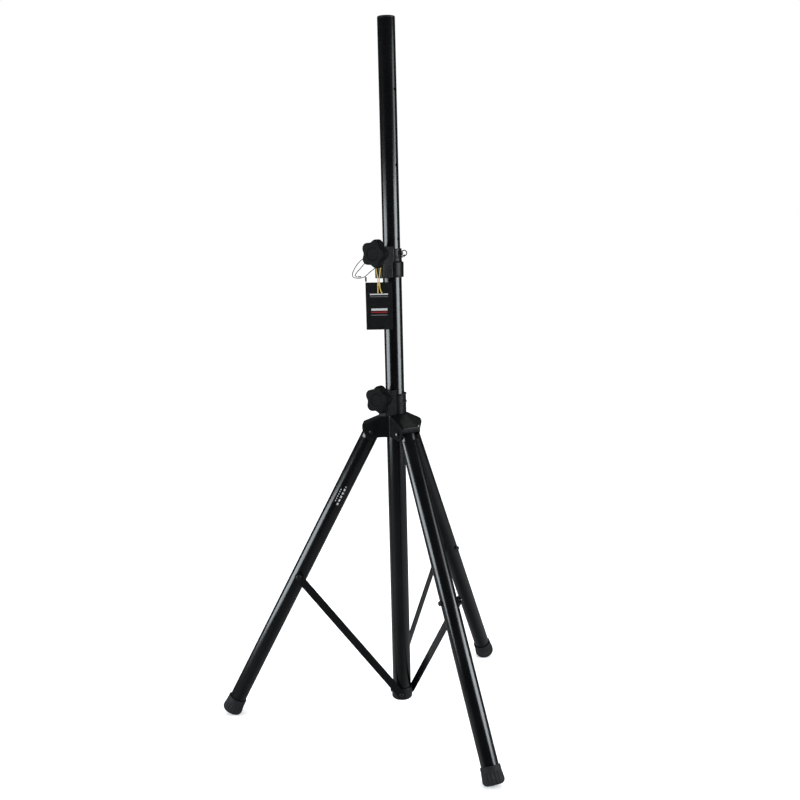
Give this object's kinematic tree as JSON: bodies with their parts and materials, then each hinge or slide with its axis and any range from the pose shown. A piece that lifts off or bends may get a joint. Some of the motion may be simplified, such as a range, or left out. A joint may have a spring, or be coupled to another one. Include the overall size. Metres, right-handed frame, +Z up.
{
  "type": "tripod speaker stand",
  "caption": "Tall two-stage pole on a folding tripod: sliding hub with hooded legs and flat braces, clamp knobs, lock pin on a wire lanyard and a hang tag.",
  "frame": {"origin": "centre of the bottom cap's flat underside, on the pole's axis, 31 mm above the floor the feet stand on", "axes": "+Z up along the pole, -X towards the left leg, -Y towards the viewer; the other two legs point 30 degrees right of -Y and 30 degrees right of +Y"},
  "size_m": [0.5916, 0.6764, 1.4368],
  "materials": {
    "tube_paint": "gloss black paint",
    "clamp_plastic": "fine matt moulded",
    "knob_plastic": "fine matt moulded",
    "cap_plastic": "satin moulded",
    "foot_rubber": "matt, slightly blue black",
    "black_hardware": "black zinc",
    "bright_steel": "zinc plated",
    "wire_coating": "smooth coated wire",
    "tag_card": "coated black card with plain pale marks",
    "tag_string": "twisted yellow string"
  },
  "bodies": {
    "pole": {"outer_tube": "tube_paint", "bottom_cap": "cap_plastic", "upper_collar": "clamp_plastic", "upper_collar_rivet": "black_hardware", "lanyard": "wire_coating", "lanyard_crimp": "bright_steel", "lanyard_sleeve": "wire_coating"},
    "mast": {"mast": "tube_paint", "mast_top_plug": "cap_plastic", "mast_bottom_glide": "cap_plastic"},
    "upper_screw": {"upper_clamp_pad": "bright_steel", "upper_clamp_screw": "bright_steel"},
    "upper_knob": {"upper_knob": "knob_plastic"},
    "hub": {"hub": "clamp_plastic", "hub_collar": "clamp_plastic", "hub_collar_rivet": "black_hardware"},
    "lower_screw": {"lower_clamp_pad": "bright_steel", "lower_clamp_screw": "bright_steel"},
    "lower_knob": {"lower_knob": "knob_plastic"},
    "leg_left": {"leg_tube_left": "tube_paint", "leg_insert_left": "cap_plastic", "foot_cap_left": "foot_rubber", "pivot_bolt_left": "black_hardware", "pivot_nut_left": "bright_steel", "brace_bolt_left": "black_hardware", "brace_nut_left": "black_hardware", "brace_spacer_left": "cap_plastic"},
    "brace_left": {"brace_left": "tube_paint", "brace_screw_left": "black_hardware"},
    "leg_front": {"leg_tube_front": "tube_paint", "leg_insert_front": "cap_plastic", "foot_cap_front": "foot_rubber", "pivot_bolt_front": "black_hardware", "pivot_nut_front": "bright_steel", "brace_bolt_front": "black_hardware", "brace_nut_front": "black_hardware", "brace_spacer_front": "cap_plastic"},
    "brace_front": {"brace_front": "tube_paint", "brace_screw_front": "black_hardware"},
    "leg_back": {"leg_tube_back": "tube_paint", "leg_insert_back": "cap_plastic", "foot_cap_back": "foot_rubber", "pivot_bolt_back": "black_hardware", "pivot_nut_back": "bright_steel", "brace_bolt_back": "black_hardware", "brace_nut_back": "black_hardware", "brace_spacer_back": "cap_plastic"},
    "brace_back": {"brace_back": "tube_paint", "brace_screw_back": "black_hardware"},
    "safety_pin": {"safety_pin": "black_hardware", "pin_ring": "black_hardware", "lanyard_end": "wire_coating"},
    "tag": {"tag_card": "tag_card", "tag_string": "tag_string"}
  },
  "joints": [
    {"name": "hub_slide", "type": "slide", "parent": "pole", "child": "hub", "axis": [0, 0, 1], "range_m": [0, 0.11]},
    {"name": "mast_slide", "type": "slide", "parent": "pole", "child": "mast", "axis": [0, 0, 1], "range_m": [-0.37, 0.38]},
    {"name": "leg_left_hinge", "type": "hinge", "parent": "hub", "child": "leg_left", "pos_m": [-0.049, 0, 0.583], "axis": [0, -1, 0], "range_deg": [0, 28]},
    {"name": "brace_left_hinge", "type": "hinge", "parent": "leg_left", "child": "brace_left", "pos_m": [-0.21007, 0, 0.27621], "axis": [0, 1, 0], "range_deg": [0, 58.5]},
    {"name": "leg_front_hinge", "type": "hinge", "parent": "hub", "child": "leg_front", "pos_m": [0.0245, -0.04244, 0.583], "axis": [0.866, 0.5, 0], "range_deg": [0, 28]},
    {"name": "brace_front_hinge", "type": "hinge", "parent": "leg_front", "child": "brace_front", "pos_m": [0.10503, -0.18192, 0.27621], "axis": [-0.866, -0.5, 0], "range_deg": [0, 58.5]},
    {"name": "leg_back_hinge", "type": "hinge", "parent": "hub", "child": "leg_back", "pos_m": [0.0245, 0.04244, 0.583], "axis": [-0.866, 0.5, 0], "range_deg": [0, 28]},
    {"name": "brace_back_hinge", "type": "hinge", "parent": "leg_back", "child": "brace_back", "pos_m": [0.10503, 0.18192, 0.27621], "axis": [0.866, -0.5, 0], "range_deg": [0, 58.5]},
    {"name": "upper_screw_travel", "type": "slide", "parent": "pole", "child": "upper_screw", "axis": [-0.5, -0.866, 0], "range_m": [0, 0.0013]},
    {"name": "upper_knob_turn", "type": "hinge", "parent": "upper_screw", "child": "upper_knob", "pos_m": [-0.03, -0.05196, 0.945], "axis": [-0.5, -0.866, 0], "range_deg": [0, 360]},
    {"name": "lower_screw_travel", "type": "slide", "parent": "hub", "child": "lower_screw", "axis": [-0.5, -0.866, 0], "range_m": [0, 0.0013]},
    {"name": "lower_knob_turn", "type": "hinge", "parent": "lower_screw", "child": "lower_knob", "pos_m": [-0.03, -0.05196, 0.6545], "axis": [-0.5, -0.866, 0], "range_deg": [0, 360]},
    {"name": "safety_pin_pull", "type": "slide", "parent": "pole", "child": "safety_pin", "axis": [0.8192, -0.5736, 0], "range_m": [0, 0.03]},
    {"name": "tag_swing", "type": "hinge", "parent": "pole", "child": "tag", "pos_m": [-0.02475, -0.04287, 0.945], "axis": [-0.5, -0.866, 0], "range_deg": [-6, 6]}
  ],
  "couplings": [
    {"joint": "leg_left_hinge", "follows": "hub_slide", "rad_per_m": 4.3953},
    {"joint": "brace_left_hinge", "follows": "hub_slide", "rad_per_m": 9.2122},
    {"joint": "leg_front_hinge", "follows": "hub_slide", "rad_per_m": 4.3953},
    {"joint": "brace_front_hinge", "follows": "hub_slide", "rad_per_m": 9.2122},
    {"joint": "leg_back_hinge", "follows": "hub_slide", "rad_per_m": 4.3953},
    {"joint": "brace_back_hinge", "follows": "hub_slide", "rad_per_m": 9.2122},
    {"joint": "upper_screw_travel", "follows": "upper_knob_turn", "m_per_rad": 0.00019894},
    {"joint": "lower_screw_travel", "follows": "lower_knob_turn", "m_per_rad": 0.00019894}
  ]
}
